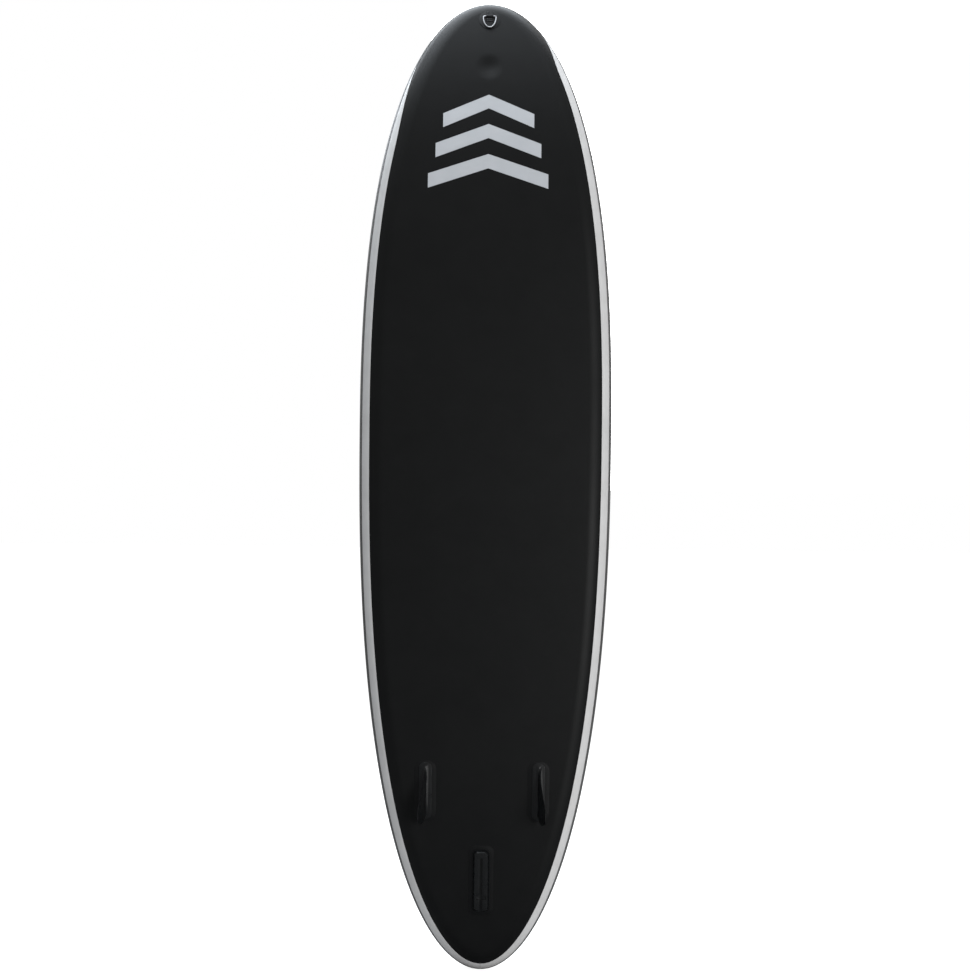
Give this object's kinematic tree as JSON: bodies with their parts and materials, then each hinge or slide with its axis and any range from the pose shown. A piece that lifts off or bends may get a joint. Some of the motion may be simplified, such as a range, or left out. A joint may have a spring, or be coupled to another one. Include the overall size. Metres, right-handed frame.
{
  "type": "stand-up paddle board",
  "caption": "Inflatable stand-up paddle board: rounded nose and tail, lifted nose, side fins, fin box, grooved deck pads, carry handle, D-rings and a sprung inflation valve.",
  "frame": {"origin": "the lowest point of the tail's rounded edge, where the upright board rests in a storage rack's foot", "axes": "+Z from the tail to the nose, -Y out of the hull face, +Y out of the deck, +X to port"},
  "size_m": [0.824, 0.4055, 3.1987],
  "materials": {
    "black_pvc": "satin coated fabric",
    "light_grey_pvc": "satin coated fabric",
    "dark_grey_pvc": "satin coated fabric",
    "drop_stitch": "woven yarns",
    "steel": "polished",
    "black_plastic": "moulded, fine grain",
    "eva_foam": "closed-cell foam, brushed",
    "eva_foam_light": "closed-cell foam, brushed",
    "webbing": "woven webbing",
    "neoprene": "knit over foam",
    "rubber": "matte"
  },
  "bodies": {
    "board": {"bottom_skin": "black_pvc", "deck_skin": "black_pvc", "drop_stitch_core": "drop_stitch", "sidewall_port": "light_grey_pvc", "sidewall_starboard": "light_grey_pvc", "rail_band_port": "dark_grey_pvc", "rail_band_starboard": "dark_grey_pvc", "nose_patch": "black_pvc", "nose_strap": "webbing", "leash_patch": "black_pvc", "leash_strap": "webbing", "deck_front_port_patch": "black_pvc", "deck_front_port_strap": "webbing", "deck_front_starboard_patch": "black_pvc", "deck_front_starboard_strap": "webbing", "deck_rear_port_patch": "black_pvc", "deck_rear_port_strap": "webbing", "deck_rear_starboard_patch": "black_pvc", "deck_rear_starboard_strap": "webbing", "fin_box_patch": "black_pvc", "fin_box": "black_plastic", "side_fin_patch_port": "black_pvc", "side_fin_port": "black_plastic", "side_fin_patch_starboard": "black_pvc", "side_fin_starboard": "black_plastic", "deck_pad_front": "eva_foam", "deck_pad_middle": "eva_foam", "deck_pad_rear": "eva_foam_light", "kick_pad": "eva_foam_light", "handle_strap": "webbing", "handle_grip": "neoprene", "handle_anchor_front": "black_pvc", "handle_anchor_rear": "black_pvc", "valve_body": "black_plastic", "valve_nut": "black_plastic", "valve_spring": "steel"},
    "nose_ring": {"nose_d_ring": "steel"},
    "leash_ring": {"leash_d_ring": "steel"},
    "deck_ring_front_port": {"deck_front_port_d_ring": "steel"},
    "deck_ring_front_starboard": {"deck_front_starboard_d_ring": "steel"},
    "deck_ring_rear_port": {"deck_rear_port_d_ring": "steel"},
    "deck_ring_rear_starboard": {"deck_rear_starboard_d_ring": "steel"},
    "valve_plunger": {"valve_stem": "black_plastic", "valve_seal": "rubber"},
    "valve_lid": {"valve_cap": "black_plastic", "valve_gasket": "rubber"}
  },
  "joints": [
    {"name": "nose_ring_swing", "type": "hinge", "parent": "board", "child": "nose_ring", "pos_m": [0, 0.05366, 3.1395], "axis": [-1, 0, 0], "range_deg": [0, 170]},
    {"name": "leash_ring_swing", "type": "hinge", "parent": "board", "child": "leash_ring", "pos_m": [0, 0.06786, 0.15725], "axis": [1, 0, 0], "range_deg": [0, 168]},
    {"name": "deck_ring_front_port_swing", "type": "hinge", "parent": "board", "child": "deck_ring_front_port", "pos_m": [0.15, 0.10733, 2.80759], "axis": [1, 0, 0], "range_deg": [-11, 158]},
    {"name": "deck_ring_front_starboard_swing", "type": "hinge", "parent": "board", "child": "deck_ring_front_starboard", "pos_m": [-0.15, 0.10733, 2.80759], "axis": [1, 0, 0], "range_deg": [-11, 158]},
    {"name": "deck_ring_rear_port_swing", "type": "hinge", "parent": "board", "child": "deck_ring_rear_port", "pos_m": [0.225, 0.06538, 2.5228], "axis": [1, 0, 0], "range_deg": [-4.5, 164]},
    {"name": "deck_ring_rear_starboard_swing", "type": "hinge", "parent": "board", "child": "deck_ring_rear_starboard", "pos_m": [-0.225, 0.06538, 2.5228], "axis": [1, 0, 0], "range_deg": [-4.5, 164]},
    {"name": "valve_press", "type": "slide", "parent": "board", "child": "valve_plunger", "axis": [0, -0.9513, 0.3081], "range_m": [0, 0.005], "stiffness_N_per_m": 300, "springref_m": -0.004, "deforming": ["valve_spring"]},
    {"name": "valve_cap_turn", "type": "hinge", "parent": "board", "child": "valve_lid", "pos_m": [0, 0.13194, 2.91312], "axis": [0, 0.9513, -0.3081], "range_deg": [0, 90]}
  ]
}
